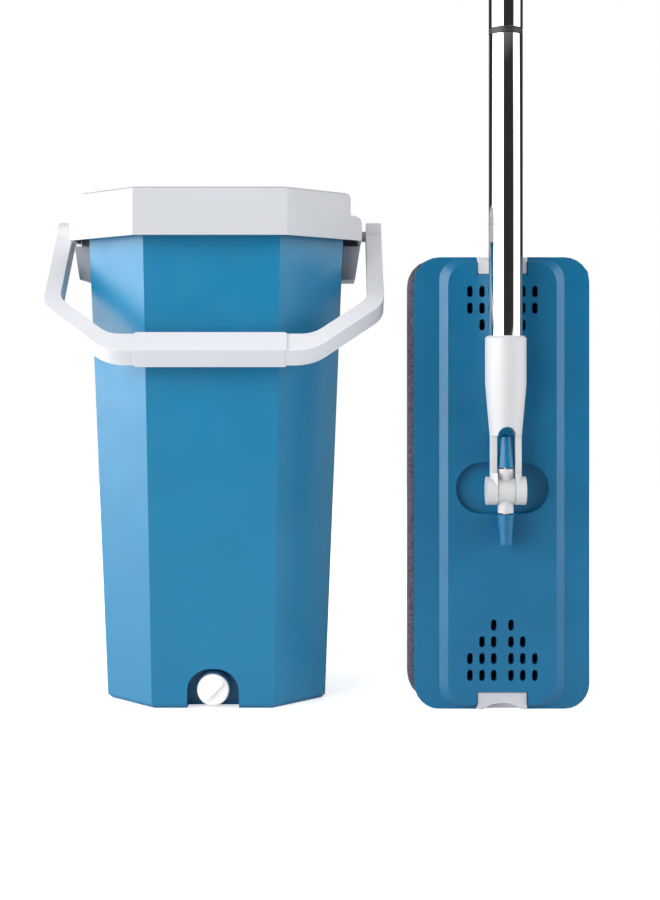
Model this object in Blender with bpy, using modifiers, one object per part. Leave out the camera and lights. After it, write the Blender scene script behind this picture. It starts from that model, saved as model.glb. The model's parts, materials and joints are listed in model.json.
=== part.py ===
"""Flat mop with its tapered octagonal bucket and lift-off wringer.

Metres, +Z up. The front of both pieces faces -Y, the bucket stands on the left of the mop, and the
origin is on the floor under the middle of the pair. The mop stands on the short end of its plate
with the pole folded up along the plate.
"""

import math

import bmesh
import bpy
from mathutils import Matrix, Vector

# ---------------------------------------------------------------- fits
GAP = 0.0003                    # between faces that rest on each other
SLIDE_FIT = 0.0006              # around a piece that slides or turns

# ---------------------------------------------------------------- bucket body
BODY_HEIGHT = 0.3538            # floor to the top of the rim lip
BODY_WALL = 0.0025
RIM_HALF_WIDTH = 0.0945
RIM_HALF_DEPTH = 0.0875
RIM_CHAMFER = 0.0455
BASE_HALF_WIDTH = 0.0805
BASE_HALF_DEPTH = 0.0735
BASE_CHAMFER = 0.0365
BASE_EDGE = 0.0030

# ---------------------------------------------------------------- drain
NICHE_RADIUS = 0.0187
NICHE_CENTRE_Z = 0.0100
NICHE_DEPTH = 0.0140
SPOUT_RADIUS = 0.0125
SPOUT_LENGTH = 0.0058
SPOUT_Z = 0.0133
DRAIN_BORE = 0.0082
PLUG_CAP_RADIUS = 0.0115
PLUG_CAP_LENGTH = 0.0078
PLUG_STEM_LENGTH = 0.0120
PLUG_BAR_WIDTH = 0.0046
PLUG_BAR_HEIGHT = 0.0026
SEAL_WIDTH = 0.0022
SEAL_DEPTH = 0.0018

# ---------------------------------------------------------------- lid
LID_WALL = 0.0025
SKIRT_REACH = 0.0133            # from the rim's outer face to the skirt's outer face
SKIRT_DROP = 0.0176             # ledge top to the skirt's lower edge
SKIRT_ROUND = 0.0045
COLLAR_STEP = 0.0083            # the lid's upper block, in from the skirt at the sides
COLLAR_HEIGHT = 0.0166
COLLAR_ROUND = 0.0040
RIDGE_WIDTH = 0.0045
DECK_DROP = 0.0110
DECK_INSET = 0.0110

# ---------------------------------------------------------------- slots in the deck
SLOT_HALF_LENGTH = 0.0680
SLOT_WIDTH = 0.0340
SLOT_DIVIDER = 0.0120
BAY_HALF_LENGTH = 0.0240        # where the pole and its joint pass
BAY_DEPTH = 0.0300
SLOT_CORNER = 0.0060

# ---------------------------------------------------------------- wringer frame
FRAME_WALL = 0.0025
FRAME_PLATE_DROP = 0.0080       # deck underside to the frame's top plate
CHEEK_DROP = 0.0560
HOUSING_TOP_DROP = 0.0160
HOUSING_HEIGHT = 0.0200
ROLLER_RADIUS = 0.0065
ROLLER_DROP = 0.0170
ROLLER_PROUD = 0.0020           # how far the rollers stand into the slot
AXLE_RADIUS = 0.0020
SCRAPER_TRAVEL = 0.0040
SCRAPER_HEIGHT = 0.0140
SCRAPER_THICKNESS = 0.0045
BLADE_REACH = 0.0055
BLADE_THICKNESS = 0.0028
SPRING_RADIUS = 0.0034
SPRING_WIRE = 0.0008
SPRING_TURNS = 5
SPRING_X = 0.0380
SCREW_HEAD_RADIUS = 0.0032
SCREW_SHANK_RADIUS = 0.0015
SCREW_LENGTH = 0.0080

# ---------------------------------------------------------------- bail handle
BAIL_REST_ANGLE = math.radians(42.0)     # below the horizontal, towards the front
BAIL_PIVOT_DROP = 0.0111                 # below the lid's ledge
BAIL_ARM_GAP = 0.0037                    # skirt to arm
BAIL_ARM_THICKNESS = 0.0120
BAIL_BAND = 0.0180
BAIL_THICKNESS = 0.0144
BAIL_KNEE_RADIUS = 0.0880                # along the arm, where it turns in
BAIL_EDGE = 0.0012
GRIP_HALF_LENGTH = 0.0540
GRIP_PROUD = 0.0007
HUB_RADIUS = 0.0105
PEG_RADIUS = 0.0040
NOTCH_INSET = 0.0023            # from the hub's edge in to the side of the skirt's notch
PEG_LENGTH = 0.0115
BRACKET_HALF_DEPTH = 0.0300
BRACKET_TOP_DROP = 0.0030                # below the skirt's lower edge
BRACKET_HEIGHT = 0.0250
BRACKET_TOP_REACH = 0.0125
BRACKET_BOTTOM_REACH = 0.0085
NECK_HALF_DEPTH = 0.0110

# ---------------------------------------------------------------- mop plate
PLATE_LENGTH = 0.3250
PLATE_WIDTH = 0.1260
PLATE_THICKNESS = 0.0075
PLATE_CORNER = 0.0180
PANEL_RISE = 0.0040
PANEL_HALF_WIDTH = 0.0390
PANEL_SLOPE = 0.0065
PANEL_CORNER = 0.0150
PANEL_INSET = 0.0010            # from the plate's ends
RECESS_HALF_WIDTH = 0.0335
RECESS_HALF_HEIGHT = 0.0185
RECESS_DEPTH = 0.0060
BLEED_COLUMNS = (0.0062, 0.0146, 0.0233)
BLEED_ROWS = ((0.0248, 3), (0.0368, 3), (0.0488, 2), (0.0608, 1))   # from the plate's end
BLEED_WIDTH = 0.0041
BLEED_LENGTH = 0.0083
INSERT_HALF_WIDTH = 0.0180
INSERT_HEIGHT = 0.0125
INSERT_SCOOP = 0.0045
INSERT_FLOOR = 0.0020

# ---------------------------------------------------------------- joint
JOINT_OFFSET = 0.0240           # plate face to the crossing of the two pins
JOINT_DROP = 0.0035             # of the crossing, below the plate's middle
FORK_HALF_SLOT = 0.0064
LUG_RADIUS = 0.0060
LUG_END_RADIUS = 0.0042
LUG_WEB_HALF = 0.0023
LUG_START = 0.0165              # along the plate, from the crossing
LUG_LENGTH = 0.0215
LUG_SLANT = 0.0020              # how much longer the web is at its foot
HINGE_PIN_DEPTH = 0.0080        # in the lug
LUG_SPACE = 0.0010
KNUCKLE_RADIUS = 0.0092
KNUCKLE_NECK_RADIUS = 0.0056
HINGE_PIN_RADIUS = 0.0021
CROSS_PIN_RADIUS = 0.0026

# ---------------------------------------------------------------- socket and pole
SOCKET_WALL = 0.0022
SOCKET_WAIST_RADIUS = 0.0112
SOCKET_BOSS_HALF_WIDTH = 0.0139
SOCKET_BOSS_RADIUS = 0.0100
SOCKET_TOP = 0.1090             # above the crossing
SOCKET_TAPER_TOP = 0.0750
SOCKET_TAPER_BOTTOM = 0.0380
SOCKET_BORE_FLOOR = 0.0600
SOCKET_RELIEF_START = 0.0130
SOCKET_TINE_HALF = 0.0036       # the tines' half depth, where they pass the lug
POLE_RADIUS = 0.0120
POLE_WALL = 0.0007
POLE_SECTION = 0.2600
POLE_SECTIONS = 4
JOINER_COLLAR = 0.0040
JOINER_PLUG = 0.0260
GRIP_WALL = 0.0030
GRIP_EDGE = 0.0012
GRIP_LENGTH = 0.1300
CAP_HEIGHT = 0.0340
CAP_PLUG = 0.0200
CAP_HALF_THICKNESS = 0.0050
CAP_HOLE_RADIUS = 0.0055

# ---------------------------------------------------------------- pad
HOOK_THICKNESS = 0.0015
HOOK_WIDTH = 0.0300
HOOK_INSET = 0.0275             # from each end of the plate
HOOK_X = 0.0400
PAD_THICKNESS = 0.0130
PAD_OVERHANG = 0.0020           # past the plate's upper end
PAD_SIDE_OVERHANG = 0.0045
PAD_FLOOR = 0.0010
PAD_ROUND = 0.0040

# ---------------------------------------------------------------- where the two stand
STAND_SPACING = 0.2080          # bucket middle to mop middle
MOP_FACE_Y = -BASE_HALF_DEPTH   # the plate's face is in line with the bucket's front

# ---------------------------------------------------------------- derived places
RIM = (RIM_HALF_WIDTH, RIM_HALF_DEPTH, RIM_CHAMFER)
BASE = (BASE_HALF_WIDTH, BASE_HALF_DEPTH, BASE_CHAMFER)
LIP_Z = BODY_HEIGHT - BODY_WALL
LIP_REACH = SKIRT_REACH - SKIRT_ROUND
LEDGE_Z = BODY_HEIGHT + GAP + LID_WALL
SKIRT_Z = LEDGE_Z - SKIRT_DROP
LID_TOP_Z = LEDGE_Z + COLLAR_HEIGHT
DECK_Z = LID_TOP_Z - DECK_DROP
DECK_UNDERSIDE_Z = DECK_Z - LID_WALL
PIVOT_Z = LEDGE_Z - BAIL_PIVOT_DROP
SKIRT_X = RIM_HALF_WIDTH + SKIRT_REACH
ARM_INNER_X = SKIRT_X + BAIL_ARM_GAP
ARM_OUTER_X = ARM_INNER_X + BAIL_ARM_THICKNESS
SLOT_INNER_Y = SLOT_DIVIDER / 2
SLOT_OUTER_Y = SLOT_INNER_Y + SLOT_WIDTH
BAY_OUTER_Y = SLOT_OUTER_Y + BAY_DEPTH
FRAME_TOP_Z = DECK_UNDERSIDE_Z - FRAME_PLATE_DROP
NICHE_BACK_Y = -BASE_HALF_DEPTH + NICHE_DEPTH
SPOUT_FRONT_Y = NICHE_BACK_Y - SPOUT_LENGTH
JOINT_Y = MOP_FACE_Y - JOINT_OFFSET
JOINT_Z = PLATE_LENGTH / 2 - JOINT_DROP
POLE_BORE = POLE_RADIUS + GAP           # of what the tube is pushed into
SOCKET_RADIUS = POLE_BORE + SOCKET_WALL
GRIP_RADIUS = POLE_BORE + GRIP_WALL
HOOK_LENGTH = PLATE_LENGTH - 2 * HOOK_INSET
SOCKET_SLOT_TOP = LUG_START + LUG_LENGTH + LUG_SPACE + FORK_HALF_SLOT
POLE_FOOT_Z = JOINT_Z + SOCKET_BORE_FLOOR + GAP
POLE_STEP = POLE_SECTION + JOINER_COLLAR + 2 * GAP
POLE_TOP_Z = POLE_FOOT_Z + (POLE_SECTIONS - 1) * POLE_STEP + POLE_SECTION
HOOK_Y = MOP_FACE_Y + PLATE_THICKNESS + GAP
PAD_Y = HOOK_Y + HOOK_THICKNESS + GAP

BODY_TAPER = (RIM_HALF_DEPTH - BASE_HALF_DEPTH) / BODY_HEIGHT
BAIL_HALF = BAIL_THICKNESS / 2 + GRIP_PROUD
# the grip lies the gap clear of the body's sloping front
BAIL_INNER_RADIUS = ((BASE_HALF_DEPTH + BODY_TAPER * PIVOT_Z + GAP
                      + BAIL_HALF * math.sin(BAIL_REST_ANGLE)
                      + GRIP_PROUD * math.cos(BAIL_REST_ANGLE))
                     / (math.cos(BAIL_REST_ANGLE) + BODY_TAPER * math.sin(BAIL_REST_ANGLE)))
BAIL_OUTER_RADIUS = BAIL_INNER_RADIUS + BAIL_BAND
BAIL_FRONT_REACH = (BAIL_OUTER_RADIUS * math.cos(BAIL_REST_ANGLE)
                    + BAIL_HALF * math.sin(BAIL_REST_ANGLE))
FRONT_Y = min(JOINT_Y - SOCKET_RADIUS, JOINT_Y - GRIP_RADIUS, -BAIL_FRONT_REACH)
BACK_Y = RIM_HALF_DEPTH + SKIRT_REACH
PAD_HALF_WIDTH = PLATE_WIDTH / 2 + PAD_SIDE_OVERHANG
BUCKET_X = -(STAND_SPACING + PAD_HALF_WIDTH - ARM_OUTER_X) / 2
MOP_X = BUCKET_X + STAND_SPACING
PAIR_Y = -(FRONT_Y + BACK_Y) / 2

# ---------------------------------------------------------------- scene helpers


def clear_scene():
    """Remove every object that the new file holds."""
    for old in list(bpy.data.objects):
        bpy.data.objects.remove(old, do_unlink=True)


def new_collection(name):
    """Add a collection to the scene and return it."""
    group = bpy.data.collections.new(name)
    bpy.context.scene.collection.children.link(group)
    return group


def finish(name, colour, roughness, metallic=0.0):
    """Make a plain shader of one colour."""
    material = bpy.data.materials.new(name)
    material.use_nodes = True
    shader = material.node_tree.nodes["Principled BSDF"]
    shader.inputs["Base Color"].default_value = (*colour, 1.0)
    shader.inputs["Roughness"].default_value = roughness
    shader.inputs["Metallic"].default_value = metallic
    return material


def new_object(name, mesh, group, parent=None):
    """Link an object that holds the mesh."""
    piece = bpy.data.objects.new(name, mesh)
    group.objects.link(piece)
    piece.parent = parent
    return piece


def mesh_from(bm, name):
    """Turn the closed shape's faces outwards, write the edit mesh out and free it."""
    bmesh.ops.recalc_face_normals(bm, faces=bm.faces[:])
    mesh = bpy.data.meshes.new(name)
    bm.to_mesh(mesh)
    bm.free()
    return mesh


def set_origin(piece, point):
    """Move the piece's origin onto a joint axis, with its shape left where it is."""
    offset = Vector(point)
    piece.data.transform(Matrix.Translation(-offset))
    piece.location = offset


def shade(piece):
    """Smooth the round stretches and keep the corners."""
    for polygon in piece.data.polygons:
        polygon.use_smooth = True
    piece.data.set_sharp_from_angle(angle=math.radians(35.0))


# ---------------------------------------------------------------- shapes


def box_mesh(name, low, high):
    """A cube brought to two opposite corners."""
    bm = bmesh.new()
    low = Vector(low)
    high = Vector(high)
    size = Matrix.Diagonal((*(high - low), 1.0))
    bmesh.ops.create_cube(bm, size=1.0, matrix=Matrix.Translation((low + high) / 2) @ size)
    return mesh_from(bm, name)


def rod_mesh(name, start, end, radius, end_radius=None, segments=24):
    """A cylinder or cone between two points."""
    start = Vector(start)
    end = Vector(end)
    turn = (end - start).to_track_quat("Z", "Y").to_matrix().to_4x4()
    bm = bmesh.new()
    bmesh.ops.create_cone(bm, cap_ends=True, segments=segments, radius1=radius,
                          radius2=radius if end_radius is None else end_radius,
                          depth=(end - start).length,
                          matrix=Matrix.Translation((start + end) / 2) @ turn)
    return mesh_from(bm, name)


def rounded(corners, steps=5):
    """Outline through (x, y, radius) corners, each radius swept as an arc."""
    outline = []
    count = len(corners)
    for index, (x, y, radius) in enumerate(corners):
        corner = Vector((x, y))
        before = Vector(corners[index - 1][:2]) - corner
        after = Vector(corners[(index + 1) % count][:2]) - corner
        if radius <= 0.0:
            outline.append(corner)
            continue
        half = before.angle(after) / 2
        cut = min(radius / math.tan(half), before.length / 2, after.length / 2)
        reach = cut * math.tan(half)
        centre = corner + (before.normalized() + after.normalized()).normalized() \
            * (reach / math.sin(half))
        first = corner + before.normalized() * cut - centre
        last = corner + after.normalized() * cut - centre
        sweep = first.angle_signed(last)
        for step in range(steps + 1):
            turn = Matrix.Rotation(-sweep * step / steps, 2)
            point = centre + turn @ first
            if not outline or (point - outline[-1]).length > 1e-5:
                outline.append(point)
    if (outline[0] - outline[-1]).length < 1e-5:
        outline.pop()
    return outline


def prism_mesh(name, outline, depth, place):
    """A flat outline as a filled 2D curve, extruded about its own plane and put in place."""
    curve = bpy.data.curves.new(name, "CURVE")
    curve.dimensions = "2D"
    curve.fill_mode = "BOTH"
    curve.extrude = depth / 2
    spline = curve.splines.new("POLY")
    spline.points.add(len(outline) - 1)
    for point, (x, y) in zip(spline.points, outline):
        point.co = (x, y, 0.0, 1.0)
    spline.use_cyclic_u = True
    guide = bpy.data.objects.new(name, curve)
    bpy.context.scene.collection.objects.link(guide)
    bpy.context.view_layer.update()
    graph = bpy.context.evaluated_depsgraph_get()
    flat = bpy.data.meshes.new_from_object(guide.evaluated_get(graph))
    bpy.data.objects.remove(guide, do_unlink=True)
    bm = bmesh.new()
    bm.from_mesh(flat)
    bpy.data.meshes.remove(flat)
    bmesh.ops.remove_doubles(bm, verts=bm.verts[:], dist=1e-6)
    bmesh.ops.transform(bm, matrix=place, verts=bm.verts[:])
    return mesh_from(bm, name)


def facing_up(z):
    """Place an outline's x and y on world X and Y at height z."""
    return Matrix.Translation((0.0, 0.0, z))


def facing_front(y):
    """Place an outline's x and y on world X and Z at depth y."""
    return Matrix.Translation((0.0, y, 0.0)) @ Matrix.Rotation(math.pi / 2, 4, "X")


def facing_side(x):
    """Place an outline's x and y on world Y and Z at width x."""
    turn = Matrix(((0, 0, 1, 0), (1, 0, 0, 0), (0, 1, 0, 0), (0, 0, 0, 1)))
    return Matrix.Translation((x, 0.0, 0.0)) @ turn


def octagon(section, grown=0.0):
    """Corners of a rectangle with 45 degree corners, grown outwards by a wall or a gap."""
    half_width, half_depth, chamfer = section
    chamfer += grown * (2.0 - math.sqrt(2.0))
    half_width += grown
    half_depth += grown
    near_x = half_width - chamfer
    near_y = half_depth - chamfer
    return [(-near_x, -half_depth), (near_x, -half_depth), (half_width, -near_y),
            (half_width, near_y), (near_x, half_depth), (-near_x, half_depth),
            (-half_width, near_y), (-half_width, -near_y)]


def body_section(z):
    """The body's octagon at a height, straight from base to rim."""
    share = z / BODY_HEIGHT
    return tuple(low + (high - low) * share for low, high in zip(BASE, RIM))


def loft_mesh(name, rings, close_first=False, close_last=False):
    """Skin a run of rings, each a list of points with the same count."""
    bm = bmesh.new()
    loops = [[bm.verts.new(point) for point in ring] for ring in rings]
    count = len(loops[0])
    for lower, upper in zip(loops, loops[1:]):
        for index in range(count):
            after = (index + 1) % count
            bm.faces.new((lower[index], lower[after], upper[after], upper[index]))
    if close_first:
        bm.faces.new(list(reversed(loops[0])))
    if close_last:
        bm.faces.new(loops[-1])
    mesh = bpy.data.meshes.new(name)
    bm.to_mesh(mesh)
    bm.free()
    return mesh


def octagon_ring(section, grown, z):
    """One ring of the octagonal loft."""
    return [(x, y, z) for x, y in octagon(section, grown)]


def turned_mesh(name, profile, place, steps=32):
    """A (radius, height) profile on the axis, turned by a Screw modifier that is then applied.

    The profile runs down its outer side, top to bottom.
    """
    bm = bmesh.new()
    verts = [bm.verts.new((radius, 0.0, height)) for radius, height in profile]
    for first, second in zip(verts, verts[1:]):
        bm.edges.new((first, second))
    if profile[0][0] > 0.0:
        bm.edges.new((verts[-1], verts[0]))
    mesh = bpy.data.meshes.new(name)
    bm.to_mesh(mesh)
    bm.free()
    guide = bpy.data.objects.new(name, mesh)
    bpy.context.scene.collection.objects.link(guide)
    screw = guide.modifiers.new("turn", "SCREW")
    screw.steps = steps
    screw.render_steps = steps
    screw.use_merge_vertices = True
    screw.merge_threshold = 0.00001
    bpy.context.view_layer.update()
    graph = bpy.context.evaluated_depsgraph_get()
    solid = bpy.data.meshes.new_from_object(guide.evaluated_get(graph))
    bpy.data.objects.remove(guide, do_unlink=True)
    bpy.data.meshes.remove(mesh)
    bm = bmesh.new()
    bm.from_mesh(solid)
    bpy.data.meshes.remove(solid)
    bmesh.ops.remove_doubles(bm, verts=bm.verts[:], dist=1e-6)
    bmesh.ops.transform(bm, matrix=place, verts=bm.verts[:])
    return mesh_from(bm, name)


# ---------------------------------------------------------------- modifiers


def solidify(piece, thickness):
    """Give an open shell its wall, inwards."""
    wall = piece.modifiers.new("wall", "SOLIDIFY")
    wall.thickness = thickness
    wall.offset = -1.0
    wall.use_even_offset = True
    wall.use_quality_normals = True


def bevel(piece, width, segments=2, angle=50.0):
    """Round the edges that turn by more than the angle."""
    edge = piece.modifiers.new("edge", "BEVEL")
    edge.width = width
    edge.segments = segments
    edge.limit_method = "ANGLE"
    edge.angle_limit = math.radians(angle)
    edge.use_clamp_overlap = True


class Shop:
    """The collections and empties that a sub-assembly is built in."""

    def __init__(self, parts, cutters, stand):
        self.parts = parts
        self.cutters = cutters
        self.stand = stand

    def part(self, name, mesh, material):
        """Add a visible piece."""
        piece = new_object(name, mesh, self.parts, self.stand)
        piece.data.materials.append(material)
        return piece

    def combine(self, piece, mesh, operation):
        """Join a second shape to the piece, or cut it away."""
        tool = new_object(mesh.name, mesh, self.cutters, self.stand)
        tool.hide_render = True
        tool.display_type = "WIRE"
        step = piece.modifiers.new(mesh.name, "BOOLEAN")
        step.operation = operation
        step.solver = "EXACT"
        step.object = tool
        return tool

    def join(self, piece, mesh):
        """Add a shape to the piece."""
        return self.combine(piece, mesh, "UNION")

    def cut(self, piece, mesh):
        """Take a shape out of the piece."""
        return self.combine(piece, mesh, "DIFFERENCE")


# ---------------------------------------------------------------- bucket


def arch(radius):
    """The drain niche's outline: a half round on straight legs that pass the floor."""
    return rounded([(-radius, -0.004, 0.0), (radius, -0.004, 0.0),
                    (radius, NICHE_CENTRE_Z + radius, radius),
                    (-radius, NICHE_CENTRE_Z + radius, radius)], steps=8)


def make_body(shop, blue):
    """The tapered bucket with its rim lip, drain niche and spout."""
    rings = [octagon_ring(BASE, -BASE_EDGE, 0.0),
             octagon_ring(body_section(BASE_EDGE), 0.0, BASE_EDGE),
             octagon_ring(body_section(LIP_Z), 0.0, LIP_Z),
             octagon_ring(body_section(LIP_Z), LIP_REACH, LIP_Z)]
    body = shop.part("bucket_body", loft_mesh("bucket_body", rings, close_first=True), blue)
    solidify(body, BODY_WALL)
    liner = arch(NICHE_RADIUS + BODY_WALL)
    liner = [(x, max(y, 0.6 * BASE_EDGE)) for x, y in liner]
    liner_front = -BASE_HALF_DEPTH + 0.6 * BODY_WALL
    liner_back = NICHE_BACK_Y + BODY_WALL
    shop.join(body, prism_mesh("niche_liner", liner, liner_back - liner_front,
                               facing_front((liner_front + liner_back) / 2)))
    niche_front = -RIM_HALF_DEPTH
    shop.cut(body, prism_mesh("niche_cut", arch(NICHE_RADIUS), NICHE_BACK_Y - niche_front,
                              facing_front((niche_front + NICHE_BACK_Y) / 2)))
    shop.join(body, rod_mesh("spout", (0, NICHE_BACK_Y + BODY_WALL / 2, SPOUT_Z),
                             (0, SPOUT_FRONT_Y, SPOUT_Z), SPOUT_RADIUS, segments=32))
    shop.cut(body, rod_mesh("drain_bore", (0, NICHE_BACK_Y + 2 * BODY_WALL, SPOUT_Z),
                            (0, SPOUT_FRONT_Y - BODY_WALL, SPOUT_Z), DRAIN_BORE, segments=32))
    return body


def make_plug(shop, white, rubber):
    """The drain plug with its finger bar and the sealing ring on its stem."""
    stem = DRAIN_BORE - SLIDE_FIT
    groove = stem - SEAL_DEPTH
    face = SPOUT_FRONT_Y - GAP
    cap_front = PLUG_CAP_LENGTH
    rim = 0.0012
    seal_top = -0.0030
    seal_bottom = seal_top - SEAL_WIDTH
    profile = [(0.0, cap_front), (PLUG_CAP_RADIUS - rim, cap_front),
               (PLUG_CAP_RADIUS, cap_front - rim), (PLUG_CAP_RADIUS, 0.0), (stem, 0.0),
               (stem, seal_top + GAP), (groove, seal_top + GAP), (groove, seal_bottom - GAP),
               (stem, seal_bottom - GAP), (stem, -PLUG_STEM_LENGTH + rim),
               (stem - rim, -PLUG_STEM_LENGTH), (0.0, -PLUG_STEM_LENGTH)]
    outwards = Matrix.Translation((0.0, face, SPOUT_Z)) @ Matrix.Rotation(math.pi / 2, 4, "X")
    plug = shop.part("drain_plug", turned_mesh("drain_plug", profile, outwards), white)
    bar = rounded([(-PLUG_CAP_RADIUS * 0.8, -PLUG_BAR_WIDTH / 2, PLUG_BAR_WIDTH / 2),
                   (PLUG_CAP_RADIUS * 0.8, -PLUG_BAR_WIDTH / 2, PLUG_BAR_WIDTH / 2),
                   (PLUG_CAP_RADIUS * 0.8, PLUG_BAR_WIDTH / 2, PLUG_BAR_WIDTH / 2),
                   (-PLUG_CAP_RADIUS * 0.8, PLUG_BAR_WIDTH / 2, PLUG_BAR_WIDTH / 2)])
    tilt = Matrix.Rotation(math.radians(45.0), 4, "Z")
    lift = Matrix.Translation((0.0, 0.0, cap_front + PLUG_BAR_HEIGHT / 2 - 0.0004))
    shop.join(plug, prism_mesh("finger_bar", bar, PLUG_BAR_HEIGHT, outwards @ lift @ tilt))
    ring = [(stem + SLIDE_FIT / 2, seal_top), (stem + SLIDE_FIT / 2, seal_bottom),
            (groove + GAP, seal_bottom), (groove + GAP, seal_top)]
    shop.part("plug_seal", turned_mesh("plug_seal", ring, outwards, steps=24), rubber)


def slot_outline(side):
    """A mop slot with the bay for the pole; side is +1 for the rear slot, -1 for the front one."""
    corners = [(-SLOT_HALF_LENGTH, SLOT_INNER_Y, SLOT_CORNER),
               (SLOT_HALF_LENGTH, SLOT_INNER_Y, SLOT_CORNER),
               (SLOT_HALF_LENGTH, SLOT_OUTER_Y, SLOT_CORNER),
               (BAY_HALF_LENGTH, SLOT_OUTER_Y, SLOT_CORNER),
               (BAY_HALF_LENGTH, BAY_OUTER_Y, SLOT_CORNER),
               (-BAY_HALF_LENGTH, BAY_OUTER_Y, SLOT_CORNER),
               (-BAY_HALF_LENGTH, SLOT_OUTER_Y, SLOT_CORNER),
               (-SLOT_HALF_LENGTH, SLOT_OUTER_Y, SLOT_CORNER)]
    outline = rounded(corners, steps=4)
    return outline if side > 0 else [(x, -y) for x, y in reversed(outline)]


def screw_places():
    """Where the wringer frame is screwed up to the lid."""
    x = SLOT_HALF_LENGTH - 2 * SCREW_HEAD_RADIUS
    return {"front_left": (-x, 0.0), "front_right": (x, 0.0),
            "rear_left": (-x, SLOT_OUTER_Y + 1.6 * SCREW_HEAD_RADIUS),
            "rear_right": (x, SLOT_OUTER_Y + 1.6 * SCREW_HEAD_RADIUS)}


def drawn_in(step):
    """The rim's octagon with its two sides drawn in and its other faces left in their planes."""
    return (RIM_HALF_WIDTH - step, RIM_HALF_DEPTH, RIM_CHAMFER - step)


def make_lid(shop, grey):
    """The lid: skirt over the rim, raised collar, sunk deck with the two slots."""
    collar = drawn_in(COLLAR_STEP)
    soft = SKIRT_REACH - COLLAR_ROUND
    inner = soft - RIDGE_WIDTH
    rings = [octagon_ring(RIM, SKIRT_REACH, SKIRT_Z),
             octagon_ring(RIM, SKIRT_REACH, LEDGE_Z - SKIRT_ROUND),
             octagon_ring(drawn_in(0.3 * SKIRT_ROUND), SKIRT_REACH, LEDGE_Z - 0.3 * SKIRT_ROUND),
             octagon_ring(drawn_in(SKIRT_ROUND), SKIRT_REACH, LEDGE_Z),
             octagon_ring(collar, SKIRT_REACH, LEDGE_Z + GAP),
             octagon_ring(collar, SKIRT_REACH, LID_TOP_Z - COLLAR_ROUND),
             octagon_ring(collar, SKIRT_REACH - 0.3 * COLLAR_ROUND, LID_TOP_Z - 0.3 * COLLAR_ROUND),
             octagon_ring(collar, soft, LID_TOP_Z),
             octagon_ring(collar, inner, LID_TOP_Z),
             octagon_ring(collar, inner - DECK_INSET, DECK_Z)]
    lid = shop.part("wringer_lid", loft_mesh("wringer_lid", rings, close_last=True), grey)
    solidify(lid, LID_WALL)
    for name, (x, y) in screw_places().items():
        shop.join(lid, rod_mesh("boss_" + name, (x, y, FRAME_TOP_Z + GAP), (x, y, DECK_Z - GAP),
                                SCREW_HEAD_RADIUS + GAP, segments=16))
        shop.cut(lid, rod_mesh("boss_hole_" + name, (x, y, FRAME_TOP_Z - GAP),
                               (x, y, FRAME_TOP_Z + SCREW_LENGTH - FRAME_WALL + GAP),
                               SCREW_SHANK_RADIUS + GAP, segments=12))
    for side, name in ((1, "rear_slot"), (-1, "front_slot")):
        shop.cut(lid, prism_mesh(name, slot_outline(side), 4 * LID_WALL,
                                 facing_up(DECK_Z - LID_WALL / 2)))
    notch = HUB_RADIUS - NOTCH_INSET
    for side, name in ((-1, "left_notch"), (1, "right_notch")):
        xs = sorted((side * (SKIRT_X - 2 * LID_WALL), side * (SKIRT_X + LID_WALL)))
        shop.cut(lid, box_mesh(name, (xs[0], -notch, SKIRT_Z - LID_WALL),
                               (xs[1], notch, PIVOT_Z + PEG_RADIUS + SLIDE_FIT)))
    return lid


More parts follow.
